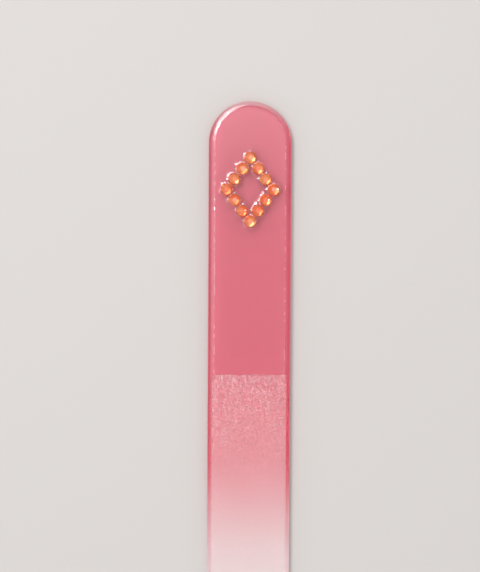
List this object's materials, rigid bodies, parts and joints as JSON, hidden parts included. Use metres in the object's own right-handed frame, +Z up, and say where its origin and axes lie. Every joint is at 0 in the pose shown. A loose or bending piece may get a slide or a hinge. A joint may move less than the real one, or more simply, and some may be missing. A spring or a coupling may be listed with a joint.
{
  "type": "glass nail file",
  "caption": "Flat tinted glass nail file: round polished handle set with foil-backed stones, an etched filing face that fades to white, and a slim tip for pushing back cuticles.",
  "frame": {"origin": "middle of the file's outline, on the underside that it rests on", "axes": "+X across the file, +Y along it towards the round handle end, +Z up through the stone-set face"},
  "size_m": [0.012, 0.135, 0.0029],
  "materials": {
    "clear_glass": "polished handle and edges, etched filing faces",
    "colour_film": "sprayed lacquer, pink fading to white",
    "orange_crystal": "cut and polished",
    "mirror_foil": "silvered backing",
    "clear_glue": "cured clear drops"
  },
  "bodies": {
    "root": {"glass_blank": "clear_glass", "colour_film": "colour_film", "rhinestone_01": "orange_crystal", "rhinestone_02": "orange_crystal", "rhinestone_03": "orange_crystal", "rhinestone_04": "orange_crystal", "rhinestone_05": "orange_crystal", "rhinestone_06": "orange_crystal", "rhinestone_07": "orange_crystal", "rhinestone_08": "orange_crystal", "rhinestone_09": "orange_crystal", "rhinestone_10": "orange_crystal", "rhinestone_11": "orange_crystal", "rhinestone_12": "orange_crystal", "foil_back_01": "mirror_foil", "foil_back_02": "mirror_foil", "foil_back_03": "mirror_foil", "foil_back_04": "mirror_foil", "foil_back_05": "mirror_foil", "foil_back_06": "mirror_foil", "foil_back_07": "mirror_foil", "foil_back_08": "mirror_foil", "foil_back_09": "mirror_foil", "foil_back_10": "mirror_foil", "foil_back_11": "mirror_foil", "foil_back_12": "mirror_foil", "glue_dab_01": "clear_glue", "glue_dab_02": "clear_glue", "glue_dab_03": "clear_glue", "glue_dab_04": "clear_glue", "glue_dab_05": "clear_glue", "glue_dab_06": "clear_glue", "glue_dab_07": "clear_glue", "glue_dab_08": "clear_glue", "glue_dab_09": "clear_glue", "glue_dab_10": "clear_glue", "glue_dab_11": "clear_glue", "glue_dab_12": "clear_glue"}
  },
  "joints": []
}
